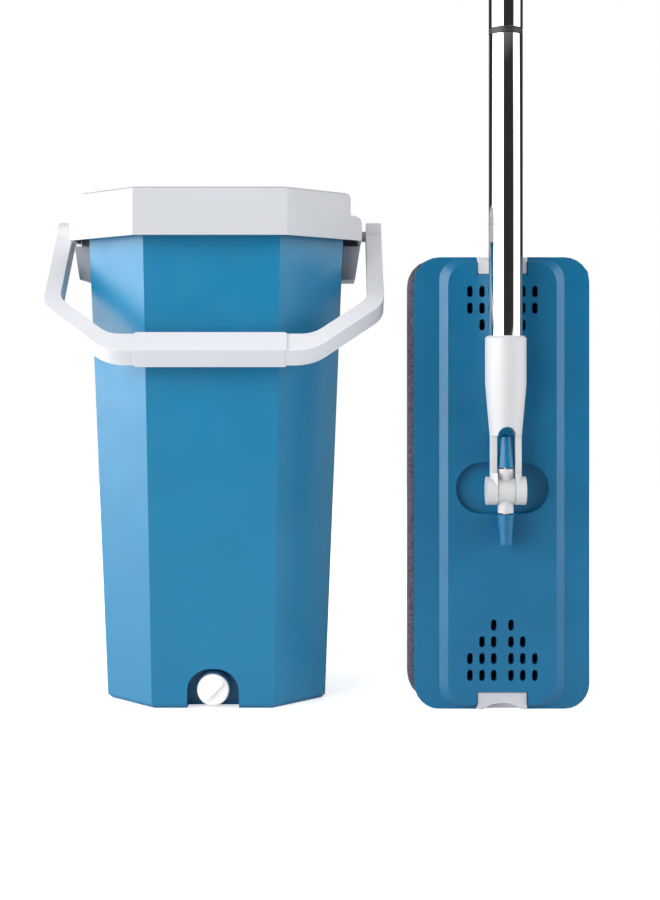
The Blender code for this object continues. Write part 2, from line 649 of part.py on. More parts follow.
def make_frame(shop, grey):
    """The frame under the rear slot: top plate, cheeks, spring housing and roller hangers."""
    cheek_x = SLOT_HALF_LENGTH + SLIDE_FIT
    back_y = roller_y() + ROLLER_RADIUS + SLIDE_FIT
    plate_y = (-2 * SCREW_HEAD_RADIUS, back_y)
    plate_z = (FRAME_TOP_Z - FRAME_WALL, FRAME_TOP_Z)
    frame = shop.part("wringer_frame", box_mesh(
        "wringer_frame", (-cheek_x - FRAME_WALL, plate_y[0], plate_z[0]),
        (cheek_x + FRAME_WALL, plate_y[1], plate_z[1])), grey)
    shop.cut(frame, prism_mesh("frame_slot", slot_outline(1), 4 * FRAME_WALL,
                               facing_up(plate_z[0])))
    housing_z = FRAME_TOP_Z - HOUSING_TOP_DROP
    for side, name in ((-1, "left"), (1, "right")):
        xs = sorted((side * cheek_x, side * (cheek_x + FRAME_WALL)))
        shop.join(frame, box_mesh("cheek_" + name, (xs[0], -SLOT_INNER_Y, FRAME_TOP_Z - CHEEK_DROP),
                                  (xs[1], back_y - GAP, plate_z[1] - GAP)))
        xs = sorted((side * (BAY_HALF_LENGTH + SLIDE_FIT),
                     side * (BAY_HALF_LENGTH + SLIDE_FIT + FRAME_WALL)))
        hanger_low = FRAME_TOP_Z - ROLLER_DROP - 1.5 * AXLE_RADIUS
        shop.join(frame, box_mesh("hanger_" + name,
                                  (xs[0], SLOT_OUTER_Y + GAP, hanger_low),
                                  (xs[1], back_y - 2 * GAP, plate_z[1] - GAP)))
        shop.cut(frame, rod_mesh("axle_hole_" + name,
                                 (side * (cheek_x + 2 * FRAME_WALL), roller_y(), roller_z()),
                                 (side * BAY_HALF_LENGTH, roller_y(), roller_z()),
                                 AXLE_RADIUS + GAP, segments=16))
    shop.join(frame, box_mesh("housing", (-cheek_x - GAP, -SLOT_INNER_Y, housing_z - HOUSING_HEIGHT),
                              (cheek_x + GAP, SLOT_INNER_Y - GAP, housing_z)))
    shop.join(frame, box_mesh("housing_web", (-cheek_x - GAP, -SLOT_INNER_Y, housing_z - GAP),
                              (cheek_x + GAP, -SLOT_INNER_Y + FRAME_WALL, plate_z[1] - GAP)))
    middle_z = housing_z - HOUSING_HEIGHT / 2
    for side, name in ((-1, "left"), (1, "right")):
        shop.cut(frame, rod_mesh("spring_pocket_" + name,
                                 (side * SPRING_X, -SLOT_INNER_Y + FRAME_WALL, middle_z),
                                 (side * SPRING_X, SLOT_INNER_Y + FRAME_WALL, middle_z),
                                 SPRING_RADIUS + 2 * GAP, segments=20))
        xs = sorted((side * (cheek_x - FRAME_WALL), side * (cheek_x + 2 * FRAME_WALL)))
        shop.cut(frame, box_mesh("cheek_window_" + name,
                                 (xs[0], SLOT_INNER_Y - GAP, middle_z - SCRAPER_HEIGHT / 2 - SLIDE_FIT),
                                 (xs[1], scraper_front() + SLIDE_FIT,
                                  middle_z + SCRAPER_HEIGHT / 2 + SLIDE_FIT)))
    for name, (x, y) in screw_places().items():
        shop.cut(frame, rod_mesh("frame_hole_" + name, (x, y, plate_z[0] - FRAME_WALL),
                                 (x, y, plate_z[1] + FRAME_WALL), SCREW_SHANK_RADIUS + GAP,
                                 segments=12))
    return frame


def roller_y():
    """Depth of the roller axles, with the rollers standing a little into the slot."""
    return SLOT_OUTER_Y - ROLLER_PROUD + ROLLER_RADIUS


def roller_z():
    """Height of the roller axles."""
    return FRAME_TOP_Z - ROLLER_DROP


def scraper_back():
    """Depth of the carriage's rear face at rest, one travel clear of the housing."""
    return SLOT_INNER_Y + SCRAPER_TRAVEL + GAP


def scraper_front():
    """Depth of the carriage's front face at rest."""
    return scraper_back() + SCRAPER_THICKNESS


def make_scraper(shop, grey, rubber, steel):
    """The sprung carriage, its rubber blade and the two springs behind it."""
    middle_z = FRAME_TOP_Z - HOUSING_TOP_DROP - HOUSING_HEIGHT / 2
    tongue = SLOT_HALF_LENGTH + SLIDE_FIT + FRAME_WALL - GAP
    carriage = shop.part("scraper_carriage", box_mesh(
        "scraper_carriage", (-tongue, scraper_back(), middle_z - SCRAPER_HEIGHT / 2),
        (tongue, scraper_front(), middle_z + SCRAPER_HEIGHT / 2)), grey)
    pin_radius = SPRING_RADIUS - SPRING_WIRE - 2 * GAP
    for side, name in ((-1, "left"), (1, "right")):
        shop.join(carriage, rod_mesh("spring_pin_" + name,
                                     (side * SPRING_X, scraper_back() + GAP, middle_z),
                                     (side * SPRING_X, SLOT_INNER_Y - SCRAPER_TRAVEL, middle_z),
                                     pin_radius, segments=16))
        coil_end = -SLOT_INNER_Y + FRAME_WALL + SPRING_WIRE / 2 + GAP
        coil_start = scraper_back() - SPRING_WIRE / 2 - GAP
        shop.part("scraper_spring_" + name,
                  coil_mesh("scraper_spring_" + name, (side * SPRING_X, coil_end, middle_z),
                            coil_start - coil_end), steel)
    blade_x = SLOT_HALF_LENGTH - 2 * SLIDE_FIT
    blade = box_mesh("scraper_blade", (-blade_x, scraper_front() + GAP,
                                       middle_z - BLADE_THICKNESS / 2),
                     (blade_x, scraper_front() + GAP + BLADE_REACH,
                      middle_z + BLADE_THICKNESS / 2))
    shop.part("scraper_blade", blade, rubber)


def coil_mesh(name, start, length):
    """A compression spring along +Y as a closed wire."""
    curve = bpy.data.curves.new(name, "CURVE")
    curve.dimensions = "3D"
    curve.bevel_depth = SPRING_WIRE / 2
    curve.bevel_resolution = 1
    curve.use_fill_caps = True
    spline = curve.splines.new("POLY")
    points = SPRING_TURNS * 12 + 1
    spline.points.add(points - 1)
    radius = SPRING_RADIUS - SPRING_WIRE / 2
    for index, point in enumerate(spline.points):
        angle = 2 * math.pi * index / 12
        share = index / (points - 1)
        point.co = (start[0] + radius * math.cos(angle), start[1] + length * share,
                    start[2] + radius * math.sin(angle), 1.0)
    guide = bpy.data.objects.new(name, curve)
    bpy.context.scene.collection.objects.link(guide)
    bpy.context.view_layer.update()
    graph = bpy.context.evaluated_depsgraph_get()
    wire = bpy.data.meshes.new_from_object(guide.evaluated_get(graph))
    bpy.data.objects.remove(guide, do_unlink=True)
    bm = bmesh.new()
    bm.from_mesh(wire)
    bpy.data.meshes.remove(wire)
    bmesh.ops.remove_doubles(bm, verts=bm.verts[:], dist=1e-6)
    return mesh_from(bm, name)


def make_rollers(shop, white, steel):
    """Two guide rollers, each on its own axle between a cheek and a hanger."""
    inner = BAY_HALF_LENGTH + SLIDE_FIT + FRAME_WALL + SLIDE_FIT
    outer = SLOT_HALF_LENGTH
    for side, name in ((-1, "left"), (1, "right")):
        place = Matrix.Translation((side * (inner + outer) / 2, roller_y(), roller_z()))
        place = place @ Matrix.Rotation(math.pi / 2, 4, "Y")
        half = (outer - inner) / 2
        rim = 0.0010
        bore = AXLE_RADIUS + GAP
        profile = [(bore, half), (ROLLER_RADIUS - rim, half), (ROLLER_RADIUS, half - rim),
                   (ROLLER_RADIUS, -half + rim), (ROLLER_RADIUS - rim, -half), (bore, -half)]
        roller = shop.part("guide_roller_" + name,
                           turned_mesh("guide_roller_" + name, profile, place), white)
        set_origin(roller, (side * (inner + outer) / 2, roller_y(), roller_z()))
        shade(roller)
        reach = SLOT_HALF_LENGTH + SLIDE_FIT + FRAME_WALL
        axle = rod_mesh("roller_axle_" + name,
                        (side * (BAY_HALF_LENGTH + SLIDE_FIT), roller_y(), roller_z()),
                        (side * reach, roller_y(), roller_z()), AXLE_RADIUS, segments=16)
        shade(shop.part("roller_axle_" + name, axle, steel))


def make_screws(shop, steel):
    """Four pan-head screws that hold the frame up to the lid's bosses."""
    head = 0.0018
    under = FRAME_TOP_Z - FRAME_WALL - GAP
    for name, (x, y) in screw_places().items():
        profile = [(0.0, SCREW_LENGTH), (SCREW_SHANK_RADIUS, SCREW_LENGTH),
                   (SCREW_SHANK_RADIUS, 0.0), (SCREW_HEAD_RADIUS, 0.0),
                   (SCREW_HEAD_RADIUS, -head / 2), (SCREW_HEAD_RADIUS * 0.6, -head), (0.0, -head)]
        mesh = turned_mesh("frame_screw_" + name, profile, Matrix.Translation((x, y, under)), 16)
        shade(shop.part("frame_screw_" + name, mesh, steel))


def make_brackets(shop, grey):
    """The two handle brackets on the bucket's sides, under the rim lip."""
    top_z = SKIRT_Z - BRACKET_TOP_DROP
    low_z = top_z - BRACKET_HEIGHT
    neck_top = LIP_Z - GAP
    neck_outer = SKIRT_X - LID_WALL - SLIDE_FIT
    for side, name in ((-1, "left"), (1, "right")):
        wall_x = [side * (body_section(z)[0] + GAP) for z in (low_z, top_z, neck_top)]
        rim_x = RIM_HALF_WIDTH
        outline = [(wall_x[0], low_z), (side * (rim_x + BRACKET_BOTTOM_REACH), low_z),
                   (side * (rim_x + BRACKET_TOP_REACH), top_z), (wall_x[1], top_z)]
        bracket = shop.part("handle_bracket_" + name, prism_mesh(
            "handle_bracket_" + name, outline, 2 * BRACKET_HALF_DEPTH, facing_front(0.0)), grey)
        neck_low = top_z - BRACKET_HEIGHT / 2
        neck = [(side * (body_section(neck_low)[0] + 2 * GAP), neck_low),
                (side * neck_outer, neck_low), (side * neck_outer, neck_top),
                (wall_x[2] + side * GAP, neck_top)]
        shop.join(bracket, prism_mesh("bracket_neck_" + name, neck, 2 * NECK_HALF_DEPTH,
                                      facing_front(0.0)))
        shop.cut(bracket, rod_mesh("peg_hole_" + name,
                                   (side * (ARM_INNER_X - PEG_LENGTH - SLIDE_FIT), 0, PIVOT_Z),
                                   (side * (ARM_INNER_X + SLIDE_FIT), 0, PIVOT_Z),
                                   PEG_RADIUS + GAP, segments=24))


def bail_outline():
    """The bail seen square on: arms along y from the pivot, then two 45 degree knees."""
    drop = BAIL_OUTER_RADIUS - BAIL_KNEE_RADIUS
    outer_turn_x = ARM_OUTER_X - drop
    inner_knee = BAIL_KNEE_RADIUS - 0.0060
    inner_turn_x = ARM_INNER_X - (BAIL_INNER_RADIUS - inner_knee)
    right = [(ARM_OUTER_X, 0.0, 0.0), (ARM_OUTER_X, BAIL_KNEE_RADIUS, 0.024),
             (outer_turn_x, BAIL_OUTER_RADIUS, 0.030)]
    left = [(-x, y, radius) for x, y, radius in reversed(right)]
    inner_left = [(-ARM_INNER_X, 0.0, 0.0), (-ARM_INNER_X, inner_knee, 0.016),
                  (-inner_turn_x, BAIL_INNER_RADIUS, 0.020)]
    inner_right = [(-x, y, radius) for x, y, radius in reversed(inner_left)]
    return rounded(right + left + inner_left + inner_right)


def bail_place():
    """Lay the bail's own plane at its rest angle through the pivot axis."""
    reach = Vector((0.0, -math.cos(BAIL_REST_ANGLE), -math.sin(BAIL_REST_ANGLE)))
    across = Vector((1.0, 0.0, 0.0))
    normal = across.cross(reach)
    turn = Matrix((across, reach, normal)).transposed().to_4x4()
    return Matrix.Translation((0.0, 0.0, PIVOT_Z)) @ turn


def make_bail(shop, grey):
    """The carrying handle with its hubs, pegs and thicker grip."""
    place = bail_place()
    bail = shop.part("bail_handle", prism_mesh("bail_handle", bail_outline(), BAIL_THICKNESS, place),
                     grey)
    bevel(bail, BAIL_EDGE, 2)
    for side, name in ((-1, "left"), (1, "right")):
        shop.join(bail, rod_mesh("hub_" + name, (side * (ARM_INNER_X + GAP), 0, PIVOT_Z),
                                 (side * (ARM_OUTER_X - GAP), 0, PIVOT_Z), HUB_RADIUS, segments=32))
        shop.join(bail, rod_mesh("peg_" + name, (side * (ARM_INNER_X - PEG_LENGTH), 0, PIVOT_Z),
                                 (side * (ARM_INNER_X + BAIL_ARM_THICKNESS / 2), 0, PIVOT_Z),
                                 PEG_RADIUS, segments=24))
    low = BAIL_INNER_RADIUS - GRIP_PROUD
    high = BAIL_OUTER_RADIUS + GRIP_PROUD
    grip = rounded([(-GRIP_HALF_LENGTH, low, 0.002), (GRIP_HALF_LENGTH, low, 0.002),
                    (GRIP_HALF_LENGTH, high, 0.002), (-GRIP_HALF_LENGTH, high, 0.002)], steps=2)
    shop.join(bail, prism_mesh("bail_grip", grip, BAIL_THICKNESS + 2 * GRIP_PROUD, place))
    set_origin(bail, (0.0, 0.0, PIVOT_Z))
    return bail


# ---------------------------------------------------------------- mop


def make_plate(shop, blue):
    """The mop plate: slab, raised panel, joint recess, lugs, bleed slots and end cut-outs."""
    half = PLATE_WIDTH / 2
    slab = rounded([(-half, 0.0, PLATE_CORNER), (half, 0.0, PLATE_CORNER),
                    (half, PLATE_LENGTH, PLATE_CORNER), (-half, PLATE_LENGTH, PLATE_CORNER)],
                   steps=6)
    plate = shop.part("mop_plate", prism_mesh("mop_plate", slab, PLATE_THICKNESS,
                                              facing_front(PLATE_THICKNESS / 2)), blue)
    foot = panel_ring(PANEL_HALF_WIDTH + PANEL_SLOPE, PANEL_INSET, GAP)
    crown = panel_ring(PANEL_HALF_WIDTH, PANEL_INSET + PANEL_SLOPE / 2, -PANEL_RISE)
    shop.join(plate, loft_solid("raised_panel", [foot, crown]))
    recess = oval(RECESS_HALF_WIDTH, RECESS_HALF_HEIGHT)
    cut_depth = PANEL_RISE + RECESS_DEPTH
    shop.cut(plate, prism_mesh("joint_recess", recess, cut_depth,
                               facing_front(-PANEL_RISE + RECESS_DEPTH - cut_depth / 2)))
    for side, name in ((-1, "lower"), (1, "upper")):
        shop.join(plate, lug_mesh("lug_" + name, side))
        start = JOINT_Z + side * (LUG_START - GAP)
        end = JOINT_Z + side * (LUG_START + HINGE_PIN_DEPTH + GAP)
        shop.cut(plate, rod_mesh("lug_hole_" + name, (0, -JOINT_OFFSET, start),
                                 (0, -JOINT_OFFSET, end), HINGE_PIN_RADIUS + GAP, segments=16))
    middle = PLATE_LENGTH / 2
    for row, (inset, columns) in enumerate(BLEED_ROWS):
        offset = PLATE_LENGTH / 2 - inset
        for column in BLEED_COLUMNS[:columns]:
            for across in (-1, 1):
                for along in (-1, 1):
                    name = f"bleed_{row}_{column * 1e4:.0f}_{across}_{along}"
                    centre = (across * column, middle + along * offset)
                    shop.cut(plate, prism_mesh(name, stadium(centre), 4 * PLATE_THICKNESS,
                                               facing_front(0.0)))
    for name, low, high in (("lower_cutout", -0.002, INSERT_HEIGHT + GAP),
                            ("upper_cutout", PLATE_LENGTH - INSERT_HEIGHT - GAP,
                             PLATE_LENGTH + 0.002)):
        reach = INSERT_HALF_WIDTH + GAP
        shop.cut(plate, box_mesh(name, (-reach, -2 * PANEL_RISE, low),
                                 (reach, PLATE_THICKNESS - INSERT_FLOOR, high)))
    return plate


def panel_ring(half_width, inset, y):
    """A rounded rectangle of the raised panel, kept inside the plate's ends."""
    low = inset
    high = PLATE_LENGTH - inset
    outline = rounded([(-half_width, low, PANEL_CORNER), (half_width, low, PANEL_CORNER),
                       (half_width, high, PANEL_CORNER), (-half_width, high, PANEL_CORNER)],
                      steps=5)
    return [(x, y, z) for x, z in outline]


def loft_solid(name, rings):
    """A loft closed at both ends, with its faces turned outwards."""
    mesh = loft_mesh(name, rings, close_first=True, close_last=True)
    bm = bmesh.new()
    bm.from_mesh(mesh)
    bpy.data.meshes.remove(mesh)
    return mesh_from(bm, name)


def oval(half_width, half_height):
    """The recess round the joint: straight sides with half-round ends."""
    return rounded([(-half_width, JOINT_Z - half_height, half_height),
                    (half_width, JOINT_Z - half_height, half_height),
                    (half_width, JOINT_Z + half_height, half_height),
                    (-half_width, JOINT_Z + half_height, half_height)], steps=6)


def stadium(centre):
    """A bleed slot, upright, with round ends."""
    x, z = centre
    half = BLEED_WIDTH / 2
    end = BLEED_LENGTH / 2
    return rounded([(x - half, z - end, half), (x + half, z - end, half),
                    (x + half, z + end, half), (x - half, z + end, half)], steps=2)


def lug_mesh(name, side):
    """A lug that carries one end of the hinge pin; side is +1 above the joint, -1 below.

    Its round ridge lies on the hinge axis, inside the fork's slot, and the web down to the plate
    is thin, so that the socket can turn about it at both ends of the fold.
    """
    start = JOINT_Z + side * LUG_START
    end = start + side * LUG_LENGTH
    eye = rod_mesh(name + "_ridge", (0, -JOINT_OFFSET, start), (0, -JOINT_OFFSET, end),
                   LUG_RADIUS, LUG_END_RADIUS, segments=20)
    foot_y = RECESS_DEPTH - PANEL_RISE / 2
    web = prism_mesh(name + "_web", [(foot_y, start + side * GAP), (-JOINT_OFFSET, start + side * GAP),
                                     (-JOINT_OFFSET, end - side * GAP), (foot_y, end + side * LUG_SLANT)],
                     2 * LUG_WEB_HALF, facing_side(0.0))
    host = bpy.data.objects.new(name, eye)
    tool = bpy.data.objects.new(name + "_web", web)
    for piece in (host, tool):
        bpy.context.scene.collection.objects.link(piece)
    step = host.modifiers.new("web", "BOOLEAN")
    step.operation = "UNION"
    step.object = tool
    bpy.context.view_layer.update()
    graph = bpy.context.evaluated_depsgraph_get()
    joined = bpy.data.meshes.new_from_object(host.evaluated_get(graph))
    for piece in (host, tool):
        bpy.data.objects.remove(piece, do_unlink=True)
    joined.name = name
    return joined


def make_inserts(shop, grey):
    """The two light end pieces, each with a scoop in its outer edge."""
    for end, name in ((0, "lower"), (1, "upper")):
        low = GAP if end == 0 else PLATE_LENGTH - INSERT_HEIGHT
        high = INSERT_HEIGHT if end == 0 else PLATE_LENGTH - GAP
        insert = shop.part("end_insert_" + name, box_mesh(
            "end_insert_" + name, (-INSERT_HALF_WIDTH, -PANEL_RISE * 0.7, low),
            (INSERT_HALF_WIDTH, PLATE_THICKNESS - INSERT_FLOOR - GAP, high)), grey)
        bevel(insert, 0.0008, 2)
        outer = low if end == 0 else high
        radius = (INSERT_HALF_WIDTH ** 2 * 0.6 + INSERT_SCOOP ** 2) / (2 * INSERT_SCOOP)
        centre = outer + (radius - INSERT_SCOOP) * (-1 if end == 0 else 1)
        shop.cut(insert, rod_mesh("scoop_" + name, (0, -4 * PANEL_RISE, centre),
                                  (0, PLATE_THICKNESS * 0.3, centre), radius, segments=64))


def make_joint(shop, blue, steel):
    """The knuckle and its two pins; the hinge pin runs along the plate, the cross pin across it."""
    y = -JOINT_OFFSET
    reach = LUG_START - LUG_SPACE
    knuckle = shop.part("joint_knuckle", rod_mesh(
        "joint_knuckle", (-FORK_HALF_SLOT + GAP, y, JOINT_Z), (FORK_HALF_SLOT - GAP, y, JOINT_Z),
        KNUCKLE_RADIUS, segments=32), blue)
    shop.join(knuckle, rod_mesh("knuckle_neck", (0, y, JOINT_Z - reach), (0, y, JOINT_Z + reach),
                                KNUCKLE_NECK_RADIUS, segments=24))
    shop.cut(knuckle, rod_mesh("knuckle_hinge_bore", (0, y, JOINT_Z - LUG_START),
                               (0, y, JOINT_Z - CROSS_PIN_RADIUS * 2), HINGE_PIN_RADIUS + GAP,
                               segments=16))
    shop.cut(knuckle, rod_mesh("knuckle_hinge_bore_top", (0, y, JOINT_Z + CROSS_PIN_RADIUS * 2),
                               (0, y, JOINT_Z + LUG_START), HINGE_PIN_RADIUS + GAP, segments=16))
    shop.cut(knuckle, rod_mesh("knuckle_cross_bore", (-2 * FORK_HALF_SLOT, y, JOINT_Z),
                               (2 * FORK_HALF_SLOT, y, JOINT_Z), CROSS_PIN_RADIUS + GAP,
                               segments=20))
    set_origin(knuckle, (0.0, y, JOINT_Z))
    for side, name in ((-1, "lower"), (1, "upper")):
        start = JOINT_Z + side * (CROSS_PIN_RADIUS * 2 + GAP)
        end = JOINT_Z + side * (LUG_START + HINGE_PIN_DEPTH)
        pin = rod_mesh("hinge_pin_" + name, (0, y, start), (0, y, end), HINGE_PIN_RADIUS,
                       segments=16)
        shade(shop.part("hinge_pin_" + name, pin, steel))
    cross = rod_mesh("cross_pin", (-SOCKET_BOSS_HALF_WIDTH + 0.0020, y, JOINT_Z),
                     (SOCKET_BOSS_HALF_WIDTH - 0.0020, y, JOINT_Z), CROSS_PIN_RADIUS, segments=20)
    pin = shop.part("cross_pin", cross, steel)
    set_origin(pin, (0.0, y, JOINT_Z))
    shade(pin)


def make_socket(shop, white):
    """The white pole socket: round above, waisted, and forked round the knuckle below."""
    y = -JOINT_OFFSET
    rim = 0.0015
    below = -SOCKET_BOSS_RADIUS * 0.6
    profile = [(POLE_BORE, SOCKET_TOP), (SOCKET_RADIUS - rim, SOCKET_TOP),
               (SOCKET_RADIUS, SOCKET_TOP - rim), (SOCKET_RADIUS, SOCKET_TAPER_TOP),
               (SOCKET_WAIST_RADIUS, SOCKET_TAPER_BOTTOM), (SOCKET_WAIST_RADIUS, below),
               (0.0, below), (0.0, SOCKET_BORE_FLOOR), (POLE_BORE, SOCKET_BORE_FLOOR)]
    socket = shop.part("pole_socket", turned_mesh(
        "pole_socket", profile, Matrix.Translation((0.0, y, JOINT_Z)), 40), white)
    shop.join(socket, rod_mesh("trunnion_boss", (-SOCKET_BOSS_HALF_WIDTH, y, JOINT_Z),
                               (SOCKET_BOSS_HALF_WIDTH, y, JOINT_Z), SOCKET_BOSS_RADIUS,
                               segments=32))
    half = FORK_HALF_SLOT
    low = JOINT_Z - 2 * SOCKET_BOSS_RADIUS
    high = JOINT_Z + SOCKET_SLOT_TOP
    slot = rounded([(-half, low, 0.0), (half, low, 0.0), (half, high, half), (-half, high, half)],
                   steps=6)
    shop.cut(socket, prism_mesh("fork_slot", slot, 3 * SOCKET_RADIUS, facing_front(y)))
    relief_low = JOINT_Z + SOCKET_RELIEF_START
    for side, name in ((-1, "front"), (1, "back")):
        ys = sorted((y + side * SOCKET_TINE_HALF, y + side * 2 * SOCKET_RADIUS))
        shop.cut(socket, box_mesh("lug_relief_" + name, (-SOCKET_RADIUS, ys[0], relief_low),
                                  (SOCKET_RADIUS, ys[1], high - half)))
    shop.cut(socket, rod_mesh("socket_pin_bore", (-SOCKET_BOSS_HALF_WIDTH + 0.0020 - GAP, y, JOINT_Z),
                              (SOCKET_BOSS_HALF_WIDTH - 0.0020 + GAP, y, JOINT_Z),
                              CROSS_PIN_RADIUS + GAP, segments=20))
    set_origin(socket, (0.0, y, JOINT_Z))


def make_pole(shop, chrome, black, grey):
    """Four chromed tubes, the threaded joiners between them, the grip and the hanging cap."""
    y = -JOINT_OFFSET
    inside = POLE_RADIUS - POLE_WALL
    for index in range(POLE_SECTIONS):
        foot = POLE_FOOT_Z + index * POLE_STEP
        tube = [(POLE_RADIUS, POLE_SECTION), (POLE_RADIUS, 0.0), (inside, 0.0),
                (inside, POLE_SECTION)]
        shade(shop.part(f"pole_section_{index + 1}", turned_mesh(
            f"pole_section_{index + 1}", tube, Matrix.Translation((0.0, y, foot)), 32), chrome))
    plug = inside - GAP
    half = JOINER_COLLAR / 2
    for index in range(POLE_SECTIONS - 1):
        middle = POLE_FOOT_Z + index * POLE_STEP + POLE_SECTION + GAP + half
        joiner = [(0.0, half + JOINER_PLUG), (plug * 0.8, half + JOINER_PLUG),
                  (plug, half + JOINER_PLUG * 0.9), (plug, half), (POLE_RADIUS, half),
                  (POLE_RADIUS, -half), (plug, -half), (plug, -half - JOINER_PLUG * 0.9),
                  (plug * 0.8, -half - JOINER_PLUG), (0.0, -half - JOINER_PLUG)]
        shade(shop.part(f"pole_joiner_{index + 1}", turned_mesh(
            f"pole_joiner_{index + 1}", joiner, Matrix.Translation((0.0, y, middle)), 24), black))
    sleeve = [(POLE_BORE, 0.0), (GRIP_RADIUS - GRIP_EDGE, 0.0), (GRIP_RADIUS, -GRIP_EDGE),
              (GRIP_RADIUS, -GRIP_LENGTH + GRIP_EDGE),
              (GRIP_RADIUS - GRIP_EDGE, -GRIP_LENGTH), (POLE_BORE, -GRIP_LENGTH)]
    shade(shop.part("pole_grip", turned_mesh(
        "pole_grip", sleeve, Matrix.Translation((0.0, y, POLE_TOP_Z)), 32), black))
    cap = [(0.0, 0.006), (POLE_RADIUS, 0.006), (GRIP_RADIUS, 0.002), (GRIP_RADIUS, 0.0),
           (plug, 0.0), (plug, -CAP_PLUG), (0.0, -CAP_PLUG)]
    seat = POLE_TOP_Z + GAP
    end_cap = shop.part("end_cap", turned_mesh(
        "end_cap", cap, Matrix.Translation((0.0, y, seat)), 32), grey)
    loop = rounded([(-GRIP_RADIUS * 0.8, 0.002, 0.0), (GRIP_RADIUS * 0.8, 0.002, 0.0),
                    (GRIP_RADIUS * 0.8, CAP_HEIGHT, GRIP_RADIUS * 0.8),
                    (-GRIP_RADIUS * 0.8, CAP_HEIGHT, GRIP_RADIUS * 0.8)], steps=8)
    place = Matrix.Translation((0.0, 0.0, seat)) @ facing_front(y)
    shop.join(end_cap, prism_mesh("cap_loop", loop, 2 * CAP_HALF_THICKNESS, place))
    hole = seat + CAP_HEIGHT - GRIP_RADIUS * 0.8
    shop.cut(end_cap, rod_mesh("cap_hole", (0, y - 2 * CAP_HALF_THICKNESS, hole),
                               (0, y + 2 * CAP_HALF_THICKNESS, hole), CAP_HOLE_RADIUS, segments=24))


def make_pad(shop, weave, hook):
    """The microfibre pad and the two hook strips that hold it to the plate."""
    back = HOOK_Y - MOP_FACE_Y
    middle = PLATE_LENGTH / 2
    for side, name in ((-1, "left"), (1, "right")):
        xs = (side * HOOK_X - HOOK_WIDTH / 2, side * HOOK_X + HOOK_WIDTH / 2)
        shop.part("hook_strip_" + name, box_mesh(
            "hook_strip_" + name, (xs[0], back, middle - HOOK_LENGTH / 2),
            (xs[1], back + HOOK_THICKNESS, middle + HOOK_LENGTH / 2)), hook)
    front = PAD_Y - MOP_FACE_Y
    low = PAD_FLOOR
    high = PLATE_LENGTH + PAD_OVERHANG
    corner = PLATE_CORNER + PAD_OVERHANG
    outline = rounded([(-PAD_HALF_WIDTH, low, corner), (PAD_HALF_WIDTH, low, corner),
                       (PAD_HALF_WIDTH, high, corner), (-PAD_HALF_WIDTH, high, corner)], steps=5)
    pad = shop.part("mop_pad", prism_mesh("mop_pad", outline, PAD_THICKNESS,
                                          facing_front(front + PAD_THICKNESS / 2)), weave)
    bevel(pad, PAD_ROUND, 2, angle=60.0)


# ---------------------------------------------------------------- assembly


def main():
    """Build both pieces, each under an empty where it stands."""
    clear_scene()
    parts = new_collection("mop_and_bucket")
    cutters = new_collection("cutters")
    bucket_stand = new_object("bucket_stand", None, parts)
    bucket_stand.location = (BUCKET_X, PAIR_Y, 0.0)
    mop_stand = new_object("mop_stand", None, parts)
    mop_stand.location = (MOP_X, PAIR_Y + MOP_FACE_Y, 0.0)

    blue = finish("blue_polypropylene", (0.030, 0.195, 0.360), 0.38)
    plate_blue = finish("plate_blue", (0.020, 0.135, 0.290), 0.42)
    grey = finish("light_grey_plastic", (0.640, 0.650, 0.680), 0.42)
    white = finish("white_plastic", (0.800, 0.800, 0.790), 0.40)
    black = finish("black_plastic", (0.030, 0.030, 0.032), 0.55)
    rubber = finish("black_rubber", (0.020, 0.020, 0.020), 0.80)
    steel = finish("plain_steel", (0.560, 0.560, 0.580), 0.30, 1.0)
    chrome = finish("polished_steel", (0.800, 0.800, 0.810), 0.08, 1.0)
    weave = finish("grey_microfibre", (0.200, 0.180, 0.240), 0.95)
    hook = finish("hook_tape", (0.050, 0.050, 0.055), 0.90)

    bucket = Shop(parts, cutters, bucket_stand)
    make_body(bucket, blue)
    make_plug(bucket, white, rubber)
    make_brackets(bucket, grey)
    make_bail(bucket, grey)
    make_lid(bucket, grey)
    make_frame(bucket, grey)
    make_scraper(bucket, grey, rubber, steel)
    make_rollers(bucket, white, steel)
    make_screws(bucket, steel)

    mop = Shop(parts, cutters, mop_stand)
    make_plate(mop, plate_blue)
    make_inserts(mop, grey)
    make_joint(mop, plate_blue, steel)
    make_socket(mop, white)
    make_pole(mop, chrome, black, grey)
    make_pad(mop, weave, hook)


main()
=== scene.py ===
import json
import logging
import math
from dataclasses import dataclass, field
from enum import Enum

